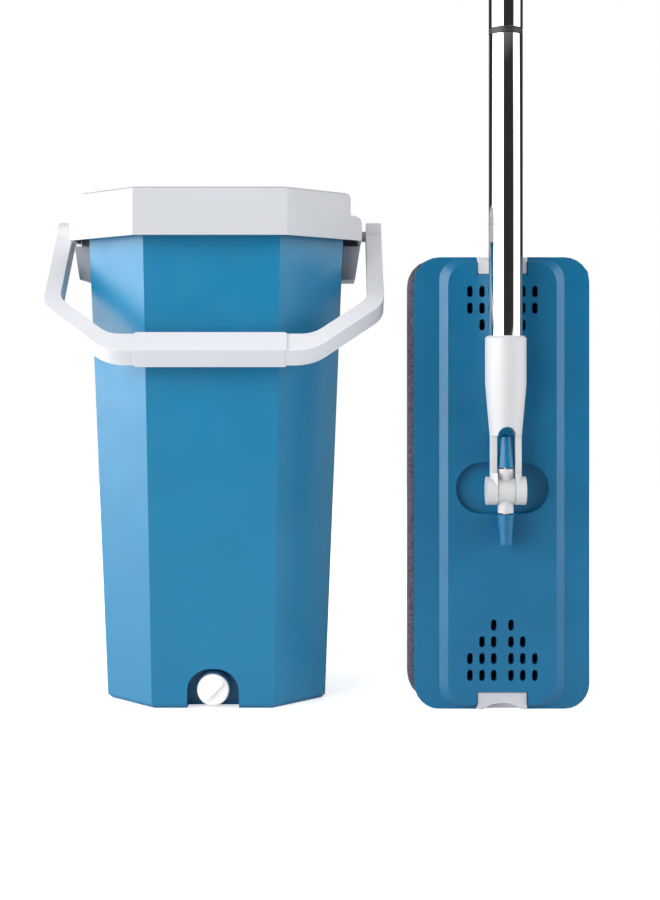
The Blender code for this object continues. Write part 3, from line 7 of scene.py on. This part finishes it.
import bpy
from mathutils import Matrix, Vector

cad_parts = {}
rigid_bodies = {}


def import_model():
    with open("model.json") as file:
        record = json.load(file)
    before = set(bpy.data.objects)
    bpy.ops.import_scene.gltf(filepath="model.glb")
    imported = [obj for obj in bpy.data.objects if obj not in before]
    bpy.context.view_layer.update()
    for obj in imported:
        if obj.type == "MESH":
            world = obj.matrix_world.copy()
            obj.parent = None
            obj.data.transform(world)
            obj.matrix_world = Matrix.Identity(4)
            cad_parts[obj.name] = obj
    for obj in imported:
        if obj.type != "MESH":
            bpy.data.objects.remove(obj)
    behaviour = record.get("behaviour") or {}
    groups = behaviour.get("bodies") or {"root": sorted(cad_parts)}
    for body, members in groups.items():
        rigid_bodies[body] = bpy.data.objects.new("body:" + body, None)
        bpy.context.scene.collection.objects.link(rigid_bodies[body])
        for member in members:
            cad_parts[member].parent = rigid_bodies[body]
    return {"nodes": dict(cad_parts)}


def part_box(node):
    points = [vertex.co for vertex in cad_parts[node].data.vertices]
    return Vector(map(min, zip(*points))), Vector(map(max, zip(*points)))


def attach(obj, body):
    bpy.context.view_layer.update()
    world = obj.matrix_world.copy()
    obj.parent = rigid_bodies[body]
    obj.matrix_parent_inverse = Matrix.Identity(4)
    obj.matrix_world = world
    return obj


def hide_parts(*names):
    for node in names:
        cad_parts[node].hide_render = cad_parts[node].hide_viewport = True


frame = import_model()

logging.basicConfig(level=logging.INFO, format="%(message)s")
LOG = logging.getLogger("mop_and_bucket")

Colour = tuple[float, float, float]


def linear(red: int, green: int, blue: int) -> Colour:
    """Turn a colour written as 0 to 255 display values into linear light.

    Args:
        red: Red, 0 to 255.
        green: Green, 0 to 255.
        blue: Blue, 0 to 255.

    Returns:
        The same colour as three linear values.
    """
    def one(value: int) -> float:
        """Linear value of one channel.

        Args:
            value: The channel, 0 to 255.

        Returns:
            The same channel in linear light.
        """
        share = value / 255.0
        return share / 12.92 if share <= 0.04045 else ((share + 0.055) / 1.055) ** 2.4

    return one(red), one(green), one(blue)


class Weave(Enum):
    """The kinds of cloth on the mop."""

    LOOPED = "looped"
    HOOKED = "hooked"


class Net:
    """A short way to lay out a material's nodes."""

    def __init__(self, name: str) -> None:
        """Start an empty material.

        Args:
            name: The material's name.
        """
        self.material = bpy.data.materials.new(name)
        self.material.use_nodes = True
        self.tree = self.material.node_tree
        self.shader = self.tree.nodes["Principled BSDF"]
        self.place = self.add("ShaderNodeTexCoord").outputs["Object"]

    def add(self, kind: str, **settings: object) -> bpy.types.Node:
        """Add a node and set its properties.

        Args:
            kind: The node's type.
            **settings: Properties to set on it.

        Returns:
            The new node.
        """
        node = self.tree.nodes.new(kind)
        for key, value in settings.items():
            setattr(node, key, value)
        return node

    def link(self, source: bpy.types.NodeSocket, target: bpy.types.NodeSocket) -> None:
        """Join an output to an input.

        Args:
            source: The output.
            target: The input it feeds.
        """
        self.tree.links.new(source, target)

    def noise(self, scale: float, detail: float, stretch: Colour = (1.0, 1.0, 1.0)) -> bpy.types.NodeSocket:
        """A noise pattern on the piece.

        Args:
            scale: How fine the pattern is, per metre.
            detail: How many octaves it has.
            stretch: Its scale along each axis.

        Returns:
            The output that carries the pattern.
        """
        mapping = self.add("ShaderNodeMapping")
        mapping.inputs["Scale"].default_value = stretch
        self.link(self.place, mapping.inputs["Vector"])
        pattern = self.add("ShaderNodeTexNoise")
        pattern.inputs["Scale"].default_value = scale
        pattern.inputs["Detail"].default_value = detail
        self.link(mapping.outputs["Vector"], pattern.inputs["Vector"])
        return pattern.outputs["Fac"]

    def spread(self, source: bpy.types.NodeSocket, low: float, high: float) -> bpy.types.NodeSocket:
        """Map the middle of a pattern onto a range of values.

        Args:
            source: The pattern.
            low: The value at its dark end.
            high: The value at its bright end.

        Returns:
            The output with the new values.
        """
        node = self.add("ShaderNodeMapRange")
        node.inputs["From Min"].default_value = 0.3
        node.inputs["From Max"].default_value = 0.7
        node.inputs["To Min"].default_value = low
        node.inputs["To Max"].default_value = high
        self.link(source, node.inputs["Value"])
        return node.outputs["Result"]

    def tint(self, source: bpy.types.NodeSocket, dark: Colour, bright: Colour) -> None:
        """Colour the piece between two colours by a pattern.

        Args:
            source: The pattern.
            dark: The colour where it is low.
            bright: The colour where it is high.
        """
        mix = self.add("ShaderNodeMix", data_type="RGBA")
        mix.inputs[6].default_value = (*dark, 1.0)
        mix.inputs[7].default_value = (*bright, 1.0)
        self.link(self.spread(source, 0.0, 1.0), mix.inputs[0])
        self.link(mix.outputs[2], self.shader.inputs["Base Color"])

    def bump(self, source: bpy.types.NodeSocket, depth: float, strength: float) -> None:
        """Raise the surface by a pattern.

        Args:
            source: The pattern.
            depth: How high it stands, in metres.
            strength: How much of it shows.
        """
        node = self.add("ShaderNodeBump")
        node.inputs["Distance"].default_value = depth
        node.inputs["Strength"].default_value = strength
        self.link(source, node.inputs["Height"])
        self.link(node.outputs["Normal"], self.shader.inputs["Normal"])


def shades(colour: Colour, share: float) -> tuple[Colour, Colour]:
    """A slightly darker and a slightly brighter tone of a colour.

    Args:
        colour: The colour between them.
        share: How far each tone is from it, as a share of it.

    Returns:
        The darker tone and the brighter one.
    """
    return tuple(c * (1.0 - share) for c in colour), tuple(min(1.0, c * (1.0 + share)) for c in colour)


@dataclass(frozen=True)
class MouldedPlastic:
    """Moulded plastic: a cloudy tone, a fine moulding grain and uneven gloss."""

    name: str
    colour: Colour
    roughness: float = 0.38
    cloud: float = 0.04
    grain: float = 0.25

    def build(self) -> bpy.types.Material:
        """Lay out the nodes and return the material."""
        net = Net(self.name)
        net.tint(net.noise(18.0, 3.0), *shades(self.colour, self.cloud))
        rough = net.spread(net.noise(60.0, 4.0), self.roughness * 0.86, self.roughness * 1.16)
        net.link(rough, net.shader.inputs["Roughness"])
        net.bump(net.noise(2600.0, 2.0), 0.00006, self.grain)
        net.shader.inputs["IOR"].default_value = 1.49
        return net.material


@dataclass(frozen=True)
class PolishedTube:
    """Bright tube, drawn along its length, with faint lengthwise lines."""

    name: str
    colour: Colour
    roughness: float = 0.05

    def build(self) -> bpy.types.Material:
        """Lay out the nodes and return the material."""
        net = Net(self.name)
        lines = net.noise(900.0, 2.0, (1.0, 1.0, 0.01))
        net.tint(lines, *shades(self.colour, 0.02))
        rough = net.spread(lines, self.roughness * 0.8, self.roughness * 1.4)
        net.link(rough, net.shader.inputs["Roughness"])
        net.shader.inputs["Metallic"].default_value = 1.0
        return net.material


@dataclass(frozen=True)
class DrawnSteel:
    """Plain steel wire and pins, turned marks and uneven dullness."""

    name: str
    colour: Colour
    roughness: float = 0.3

    def build(self) -> bpy.types.Material:
        """Lay out the nodes and return the material."""
        net = Net(self.name)
        marks = net.noise(1500.0, 4.0, (1.0, 1.0, 0.2))
        net.tint(marks, *shades(self.colour, 0.08))
        rough = net.spread(marks, self.roughness * 0.7, self.roughness * 1.3)
        net.link(rough, net.shader.inputs["Roughness"])
        net.bump(marks, 0.00004, 0.3)
        net.shader.inputs["Metallic"].default_value = 1.0
        return net.material


@dataclass(frozen=True)
class SoftRubber:
    """Matt black rubber with a dusty bloom."""

    name: str
    colour: Colour

    def build(self) -> bpy.types.Material:
        """Lay out the nodes and return the material."""
        net = Net(self.name)
        net.tint(net.noise(90.0, 4.0), *shades(self.colour, 0.3))
        net.link(net.spread(net.noise(200.0, 3.0), 0.62, 0.82), net.shader.inputs["Roughness"])
        net.bump(net.noise(1800.0, 3.0), 0.00008, 0.4)
        return net.material


@dataclass(frozen=True)
class Cloth:
    """Looped microfibre, or the stiff hook tape that holds it."""

    name: str
    colour: Colour
    weave: Weave
    pitch: float = 0.0022

    def build(self) -> bpy.types.Material:
        """Lay out the nodes and return the material."""
        net = Net(self.name)
        scale = 1.0 / self.pitch
        cells = net.add("ShaderNodeTexVoronoi")
        cells.inputs["Scale"].default_value = scale
        net.link(net.place, cells.inputs["Vector"])
        ribs = net.noise(scale * 0.35, 3.0, (1.0, 1.0, 2.2))
        joined = net.add("ShaderNodeMath", operation="MULTIPLY")
        net.link(cells.outputs["Distance"], joined.inputs[0])
        net.link(ribs, joined.inputs[1])
        net.tint(cells.outputs["Distance"], *reversed(shades(self.colour, 0.30)))
        deep = self.weave is Weave.LOOPED
        net.bump(joined.outputs["Value"], 0.0012 if deep else 0.0005, 0.8 if deep else 0.5)
        net.shader.inputs["Roughness"].default_value = 0.95
        net.shader.inputs["Sheen Weight"].default_value = 0.35 if deep else 0.1
        net.shader.inputs["Sheen Roughness"].default_value = 0.5
        return net.material


class Bench:
    """Where pieces are cut, merged, rounded and finished."""

    @staticmethod
    def pick(piece: bpy.types.Object) -> None:
        """Make this the only selected and the active object.

        Args:
            piece: The object.
        """
        for other in bpy.context.view_layer.objects:
            other.select_set(False)
        piece.select_set(True)
        bpy.context.view_layer.objects.active = piece

    @staticmethod
    def apply(piece: bpy.types.Object, kind: str, **settings: object) -> None:
        """Add a modifier, set it and apply it.

        Args:
            piece: The object that gets it.
            kind: The modifier's type.
            **settings: Its properties.
        """
        Bench.pick(piece)
        modifier = piece.modifiers.new(kind.lower(), kind)
        for key, value in settings.items():
            setattr(modifier, key, value)
        bpy.ops.object.modifier_apply(modifier=modifier.name)

    @staticmethod
    def smooth(piece: bpy.types.Object, degrees: float = 24.0) -> None:
        """Shade smoothly except over edges sharper than an angle.

        Args:
            piece: The object.
            degrees: The least angle that stays sharp.
        """
        Bench.pick(piece)
        bpy.ops.object.shade_smooth_by_angle(angle=math.radians(degrees))

    @staticmethod
    def settle(piece: bpy.types.Object) -> None:
        """Write the object's place into its mesh, so that it sits at the origin.

        Args:
            piece: The object.
        """
        Bench.pick(piece)
        bpy.ops.object.transform_apply(location=True, rotation=True, scale=True)

    @staticmethod
    def refine(node: str, name: str, edge: float, degrees: float = 28.0,
               flatten: bool = True) -> bpy.types.Object:
        """Take a merged copy of a hard part and break its sharp edges.

        Args:
            node: The part's name.
            name: The new piece's name.
            edge: How wide each broken edge is; 0 leaves them sharp.
            degrees: The least angle that counts as an edge.
            flatten: Whether flat areas become single faces; not where they have many holes.

        Returns:
            The new piece.
        """
        source = frame["nodes"][node]
        piece = bpy.data.objects.new(name, source.data.copy())
        bpy.context.scene.collection.objects.link(piece)
        Bench.pick(piece)
        bpy.ops.object.mode_set(mode="EDIT")
        bpy.ops.mesh.select_all(action="SELECT")
        bpy.ops.mesh.remove_doubles(threshold=0.000002)
        if flatten:
            bpy.ops.mesh.dissolve_limited(angle_limit=math.radians(0.3))
        bpy.ops.object.mode_set(mode="OBJECT")
        if edge > 0.0:
            Bench.apply(piece, "BEVEL", width=edge, segments=2, limit_method="ANGLE",
                        angle_limit=math.radians(degrees), use_clamp_overlap=True,
                        miter_outer="MITER_ARC")
        Bench.smooth(piece)
        Bench.apply(piece, "WEIGHTED_NORMAL", keep_sharp=True, weight=80)
        return piece

    @staticmethod
    def fit(piece: bpy.types.Object, body: str, slot: str, material: bpy.types.Material,
            *nodes: str) -> bpy.types.Object:
        """Dress a piece and give it its body, its material slot and the parts it stands for.

        Args:
            piece: The finished piece.
            body: The body it moves with.
            slot: Its material slot; not used.
            material: Its material.
            *nodes: The parts it stands for.

        Returns:
            The same piece.
        """
        piece.data.materials.clear()
        piece.data.materials.append(material)
        if nodes:
            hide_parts(*nodes)
        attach(piece, body)
        LOG.info("%s: %d faces, on %s", piece.name, len(piece.data.polygons), body)
        return piece


@dataclass
class Palette:
    """Every finish on the pair, built once."""

    bucket_blue: MouldedPlastic = MouldedPlastic("bucket_blue", linear(22, 118, 160), 0.32)
    plate_blue: MouldedPlastic = MouldedPlastic("plate_blue", linear(8, 98, 138), 0.36, 0.07, 0.4)
    light_grey: MouldedPlastic = MouldedPlastic("light_grey", linear(190, 192, 197), 0.42, 0.015)
    # Light grey like the lid, darkened as painted shade: the brackets sit in shadow under the lid's flange.
    bracket_grey_painted_shade: MouldedPlastic = MouldedPlastic("bracket_grey_painted_shade", linear(150, 152, 158), 0.45, 0.02)
    bail_grey: MouldedPlastic = MouldedPlastic("bail_grey", linear(217, 218, 222), 0.42, 0.015)
    white: MouldedPlastic = MouldedPlastic("white_plastic", linear(246, 246, 247), 0.34, 0.012)
    socket_white: MouldedPlastic = MouldedPlastic("socket_white", linear(194, 195, 197), 0.38, 0.012)
    black: MouldedPlastic = MouldedPlastic("black_plastic", linear(38, 38, 40), 0.5, 0.1, 0.5)
    chrome: PolishedTube = PolishedTube("chrome_tube", (0.86, 0.86, 0.87))
    steel: DrawnSteel = DrawnSteel("steel", (0.6, 0.6, 0.62))
    rubber: SoftRubber = SoftRubber("black_rubber", linear(40, 40, 42))
    microfibre: Cloth = Cloth("microfibre", linear(76, 75, 88), Weave.LOOPED)
    hooks: Cloth = Cloth("hook_tape", linear(60, 60, 64), Weave.HOOKED, 0.0012)
    made: dict[str, bpy.types.Material] = field(default_factory=dict)

    def get(self, name: str) -> bpy.types.Material:
        """The material of one finish, made the first time it is asked for.

        Args:
            name: The finish's name here.

        Returns:
            Its material.
        """
        if name not in self.made:
            self.made[name] = getattr(self, name).build()
        return self.made[name]


@dataclass
class Bucket:
    """The bucket, its brackets, its bail and its drain plug."""

    palette: Palette
    body_edge: float = 0.0009
    bail_edge: float = 0.0006

    def build(self) -> None:
        """Make the bucket's pieces."""
        get = self.palette.get
        Bench.fit(Bench.refine("bucket_body", "bucket_shell", self.body_edge),
                  "bucket", "bucket_blue", get("bucket_blue"), "bucket_body")
        for side in ("left", "right"):
            node = "handle_bracket_" + side
            # The brackets take the darker grey, which is painted shade for the shadow under the flange.
            Bench.fit(Bench.refine(node, "bracket_" + side, 0.0006),
                      "bucket", "light_grey", get("bracket_grey_painted_shade"), node)
        Bench.fit(Bench.refine("bail_handle", "bail", self.bail_edge, 40.0),
                  "bail", "light_grey", get("bail_grey"), "bail_handle")
        Bench.fit(Bench.refine("drain_plug", "plug", 0.0004, 40.0),
                  "plug", "white_plastic", get("white"), "drain_plug")
        Bench.fit(Bench.refine("plug_seal", "seal_ring", 0.0),
                  "plug", "black_rubber", get("rubber"), "plug_seal")


@dataclass
class Wringer:
    """The lid with its slots, and the sprung scraper and rollers beneath it."""

    palette: Palette
    lid_edge: float = 0.0008

    def build(self) -> None:
        """Make the wringer's pieces."""
        get = self.palette.get
        Bench.fit(Bench.refine("wringer_lid", "lid", self.lid_edge),
                  "lid", "light_grey", get("light_grey"), "wringer_lid")
        Bench.fit(Bench.refine("wringer_frame", "hanger_frame", 0.0004),
                  "lid", "light_grey", get("light_grey"), "wringer_frame")
        Bench.fit(Bench.refine("scraper_carriage", "carriage", 0.0004),
                  "scraper", "light_grey", get("light_grey"), "scraper_carriage")
        Bench.fit(Bench.refine("scraper_blade", "blade", 0.0003),
                  "scraper", "black_rubber", get("rubber"), "scraper_blade")
        for side in ("left", "right"):
            Bench.fit(Bench.refine("scraper_spring_" + side, "spring_" + side, 0.0),
                      "lid", "steel", get("steel"), "scraper_spring_" + side)
            Bench.fit(Bench.refine("guide_roller_" + side, "roller_" + side + "_sleeve", 0.0003, 50.0),
                      "roller_" + side, "white_plastic", get("white"), "guide_roller_" + side)
            Bench.fit(Bench.refine("roller_axle_" + side, "axle_" + side, 0.0002, 50.0),
                      "lid", "steel", get("steel"), "roller_axle_" + side)
            for end in ("front", "rear"):
                node = f"frame_screw_{end}_{side}"
                Bench.fit(Bench.refine(node, f"screw_{end}_{side}", 0.0),
                          "lid", "steel", get("steel"), node)


@dataclass
class MopHead:
    """The plate, its end pieces, the hook strips and the cloth pad."""

    palette: Palette
    plate_edge: float = 0.0003
    shrink: float = 0.0016
    voxel: float = 0.0028
    puff_limit: float = 0.0045
    side_spare: float = 0.0020
    right_trim: float = 0.0032
    air_pressure: float = 4.0
    cloth_quality: int = 4
    cloth_frames: int = 20
    fill: float = 0.7

    def build(self) -> None:
        """Make the mop head's pieces."""
        get = self.palette.get
        Bench.fit(Bench.refine("mop_plate", "plate", self.plate_edge, 30.0, False),
                  "mop_head", "plate_blue", get("plate_blue"), "mop_plate")
        for end in ("lower", "upper"):
            Bench.fit(Bench.refine("end_insert_" + end, "end_piece_" + end, 0.0),
                      "mop_head", "light_grey", get("light_grey"), "end_insert_" + end)
            Bench.fit(Bench.refine("hinge_pin_" + end, "pin_" + end, 0.0003, 50.0),
                      "mop_head", "steel", get("steel"), "hinge_pin_" + end)
        for side in ("left", "right"):
            Bench.fit(Bench.refine("hook_strip_" + side, "hook_tape_" + side, 0.0003),
                      "mop_head", "hook_tape", get("hooks"), "hook_strip_" + side)
        self.build_pad()

    def build_pad(self) -> None:
        """Puff the pad up as cloth, then hold it in the space it has behind the plate."""
        low, high = (Vector(corner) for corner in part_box("mop_pad"))
        pad = Bench.refine("mop_pad", "microfibre_pad", 0.0)
        middle = (low + high) / 2
        size = high - low
        for vert in pad.data.vertices:
            for axis in (1, 2):
                share = (size[axis] - 2 * self.shrink) / size[axis]
                vert.co[axis] = middle[axis] + (vert.co[axis] - middle[axis]) * share
        Bench.pick(pad)
        pad.data.remesh_voxel_size = self.voxel
        bpy.ops.object.voxel_remesh()
        self.puff(pad)
        for vert in pad.data.vertices:
            vert.co.x = min(max(vert.co.x, low.x - self.side_spare), high.x - self.right_trim)
            vert.co.y = min(max(vert.co.y, low.y), high.y)
            vert.co.z = min(max(vert.co.z, low.z), high.z)
        Bench.apply(pad, "SUBSURF", levels=1, render_levels=1)
        Bench.pick(pad)
        bpy.ops.object.shade_smooth()
        Bench.fit(pad, "mop_head", "microfibre", self.palette.get("microfibre"), "mop_pad")

    def puff(self, pad: bpy.types.Object) -> None:
        """Run the cloth with air inside it; its sides stay put and no point moves far.

        Args:
            pad: The pad.
        """
        start = [vert.co.copy() for vert in pad.data.vertices]
        Bench.pick(pad)
        cloth = pad.modifiers.new("cloth", "CLOTH")
        cloth.settings.use_pressure = True
        cloth.settings.uniform_pressure_force = self.air_pressure
        cloth.settings.effector_weights.gravity = 0.0
        cloth.settings.quality = self.cloth_quality
        cloth.point_cache.frame_end = self.cloth_frames
        scene = bpy.context.scene
        for step in range(1, self.cloth_frames + 1):
            scene.frame_set(step)
        bpy.ops.object.modifier_apply(modifier=cloth.name)
        scene.frame_set(1)
        for vert, was in zip(pad.data.vertices, start):
            move = vert.co - was
            move.x = 0.0
            if move.length > self.puff_limit:
                move = move.normalized() * self.puff_limit
            vert.co = was + move


@dataclass
class Pole:
    """The joint, the socket, the screwed tubes, the grip and the cap."""

    palette: Palette
    facets: int = 96
    wall: float = 0.0007
    tube_edge: float = 0.00015

    def build(self) -> None:
        """Make the pieces from the joint upwards."""
        get = self.palette.get
        Bench.fit(Bench.refine("joint_knuckle", "knuckle", 0.0003, 40.0),
                  "knuckle", "white_plastic", get("socket_white"), "joint_knuckle")
        Bench.fit(Bench.refine("pole_socket", "socket", 0.0004, 40.0),
                  "pole", "white_plastic", get("socket_white"), "pole_socket")
        Bench.fit(Bench.refine("cross_pin", "joint_cross_pin", 0.0003, 50.0),
                  "pole", "steel", get("steel"), "cross_pin")
        for index in range(1, 5):
            self.tube(index)
        for index in range(1, 4):
            node = f"pole_joiner_{index}"
            Bench.fit(Bench.refine(node, f"joiner_{index}", 0.0002, 50.0),
                      "pole", "black_plastic", get("black"), node)
        Bench.fit(Bench.refine("pole_grip", "grip", 0.0003, 50.0),
                  "pole", "black_plastic", get("black"), "pole_grip")
        Bench.fit(Bench.refine("end_cap", "hanging_cap", 0.0004, 40.0),
                  "pole", "light_grey", get("light_grey"), "end_cap")

    def tube(self, index: int) -> None:
        """Draw one tube: an open cylinder that is then given its wall.

        Args:
            index: Which tube, from 1 at the bottom.
        """
        node = f"pole_section_{index}"
        low, high = (Vector(corner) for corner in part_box(node))
        middle = (low + high) / 2
        bpy.ops.mesh.primitive_cylinder_add(vertices=self.facets, radius=(high.x - low.x) / 2,
                                            depth=high.z - low.z, end_fill_type="NOTHING",
                                            location=middle)
        tube = bpy.context.view_layer.objects.active
        tube.name = f"tube_{index}"
        Bench.settle(tube)
        Bench.apply(tube, "SOLIDIFY", thickness=self.wall, offset=-1.0)
        Bench.apply(tube, "BEVEL", width=self.tube_edge, segments=2, limit_method="ANGLE",
                    angle_limit=math.radians(50.0))
        Bench.smooth(tube)
        Bench.fit(tube, "pole", "chrome_tube", self.palette.get("chrome"), node)


@dataclass(frozen=True)
class Lamp:
    """A square soft light: its place and side in metres, its power in watts."""

    name: str
    place: tuple[float, float, float]
    size: float
    power: float


@dataclass
class Studio:
    """The pale floor, the soft light and the camera."""

    camera_place: tuple[float, float, float] = (0.0083, -1.167, 0.251)
    lens: float = 61.1
    lift: float = -0.1
    floor_size: float = 3.0
    sky: float = 0.26
    floor_glow: float = 0.58
    panel_height: float = 0.5
    panel_fade: float = 0.12
    lamps: tuple[Lamp, ...] = (
        Lamp("key_left", (-1.9, -0.7, 1.3), 1.3, 3.0),
        Lamp("fill_right", (1.9, -0.7, 0.9), 1.3, 17.0),
        Lamp("top", (0.0, -0.6, 2.3), 1.6, 7.0))
    aim: tuple[float, float, float] = (0.0, 0.0, 0.25)
    panels: tuple[tuple[int, float], ...] = (
        (-180, 0.5), (-165, 0.5), (-155, 0.03), (-112, 0.03), (-104, 5.0), (-28, 5.0), (-20, 0.03),
        (46, 0.03), (54, 2.4), (100, 2.4), (108, 0.03), (155, 0.03), (165, 0.5), (180, 0.5))

    def build(self) -> None:
        """Set up the floor, the surroundings, the lights and the camera."""
        self.floor()
        self.surroundings()
        for lamp in self.lamps:
            self.light(lamp)
        data = bpy.data.cameras.new("camera")
        data.lens = self.lens
        data.sensor_width = 36.0
        data.shift_y = self.lift
        camera = bpy.data.objects.new("camera", data)
        camera.location = self.camera_place
        camera.rotation_euler = (math.radians(90.0), 0.0, 0.0)
        bpy.context.scene.collection.objects.link(camera)
        bpy.context.scene.camera = camera
        bpy.context.scene.view_settings.view_transform = "Standard"

    def floor(self) -> None:
        """A pale, slightly glossy floor."""
        bpy.ops.mesh.primitive_plane_add(size=self.floor_size, location=(0.0, 0.4, 0.0))
        floor = bpy.context.view_layer.objects.active
        floor.name = "studio_floor"
        net = Net("floor_paint")
        net.tint(net.noise(3.0, 2.0), (0.93, 0.93, 0.93), (0.96, 0.96, 0.96))
        net.shader.inputs["Roughness"].default_value = 0.25
        net.shader.inputs["Emission Color"].default_value = (1.0, 1.0, 1.0, 1.0)
        seen = net.add("ShaderNodeLightPath").outputs["Is Camera Ray"]
        glow = net.add("ShaderNodeMath", operation="MULTIPLY")
        glow.inputs[1].default_value = self.floor_glow
        net.link(seen, glow.inputs[0])
        net.link(glow.outputs["Value"], net.shader.inputs["Emission Strength"])
        floor.data.materials.append(net.material)

    def light(self, lamp: Lamp) -> None:
        """Hang a square soft light that faces the middle of the pair.

        Args:
            lamp: Its name, place, side and power.
        """
        data = bpy.data.lights.new(lamp.name, "AREA")
        data.size = lamp.size
        data.energy = lamp.power
        hung = bpy.data.objects.new(lamp.name, data)
        hung.location = lamp.place
        aim = Vector(self.aim) - Vector(lamp.place)
        hung.rotation_euler = aim.to_track_quat("-Z", "Y").to_euler()
        hung.visible_camera = False
        hung.visible_glossy = False
        bpy.context.scene.collection.objects.link(hung)

    def surroundings(self) -> None:
        """White behind the pair, with bright side panels and dark gaps between them round the room."""
        world = bpy.data.worlds.new("studio")
        bpy.context.scene.world = world
        world.use_nodes = True
        tree = world.node_tree
        back = tree.nodes["Background"]
        place = tree.nodes.new("ShaderNodeTexCoord")
        parts = tree.nodes.new("ShaderNodeSeparateXYZ")
        tree.links.new(place.outputs["Generated"], parts.inputs[0])
        flip = tree.nodes.new("ShaderNodeMath")
        flip.operation = "MULTIPLY"
        flip.inputs[1].default_value = -1.0
        tree.links.new(parts.outputs["Y"], flip.inputs[0])
        turn = tree.nodes.new("ShaderNodeMath")
        turn.operation = "ARCTAN2"
        tree.links.new(parts.outputs["X"], turn.inputs[0])
        tree.links.new(flip.outputs[0], turn.inputs[1])
        share = tree.nodes.new("ShaderNodeMapRange")
        share.inputs["From Min"].default_value = -math.pi
        share.inputs["From Max"].default_value = math.pi
        tree.links.new(turn.outputs[0], share.inputs["Value"])
        ramp = tree.nodes.new("ShaderNodeValToRGB")
        elements = ramp.color_ramp.elements
        for index, (degrees, value) in enumerate(self.panels):
            at = (degrees + 180) / 360
            stop = elements[index] if index < 2 else elements.new(at)
            stop.position = at
            stop.color = (value, value, value, 1.0)
        tree.links.new(share.outputs["Result"], ramp.inputs["Fac"])
        height = tree.nodes.new("ShaderNodeMath")
        height.operation = "ABSOLUTE"
        tree.links.new(parts.outputs["Z"], height.inputs[0])
        mask = tree.nodes.new("ShaderNodeMapRange")
        mask.inputs["From Min"].default_value = self.panel_height
        mask.inputs["From Max"].default_value = self.panel_height + self.panel_fade
        tree.links.new(height.outputs[0], mask.inputs["Value"])
        room = tree.nodes.new("ShaderNodeMix")
        room.data_type = "RGBA"
        room.inputs[7].default_value = (self.sky, self.sky, self.sky, 1.0)
        tree.links.new(mask.outputs["Result"], room.inputs[0])
        tree.links.new(ramp.outputs["Color"], room.inputs[6])
        path = tree.nodes.new("ShaderNodeLightPath")
        mix = tree.nodes.new("ShaderNodeMix")
        mix.data_type = "RGBA"
        mix.inputs[7].default_value = (1.0, 1.0, 1.0, 1.0)
        tree.links.new(path.outputs["Is Camera Ray"], mix.inputs[0])
        tree.links.new(room.outputs[2], mix.inputs[6])
        tree.links.new(mix.outputs[2], back.inputs["Color"])


def main() -> None:
    """Build the pair and the studio."""
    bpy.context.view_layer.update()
    palette = Palette()
    for part in (Bucket(palette), Wringer(palette), MopHead(palette), Pole(palette)):
        LOG.info("building %s", type(part).__name__)
        part.build()
    Studio().build()


if __name__ == "__main__":
    main()
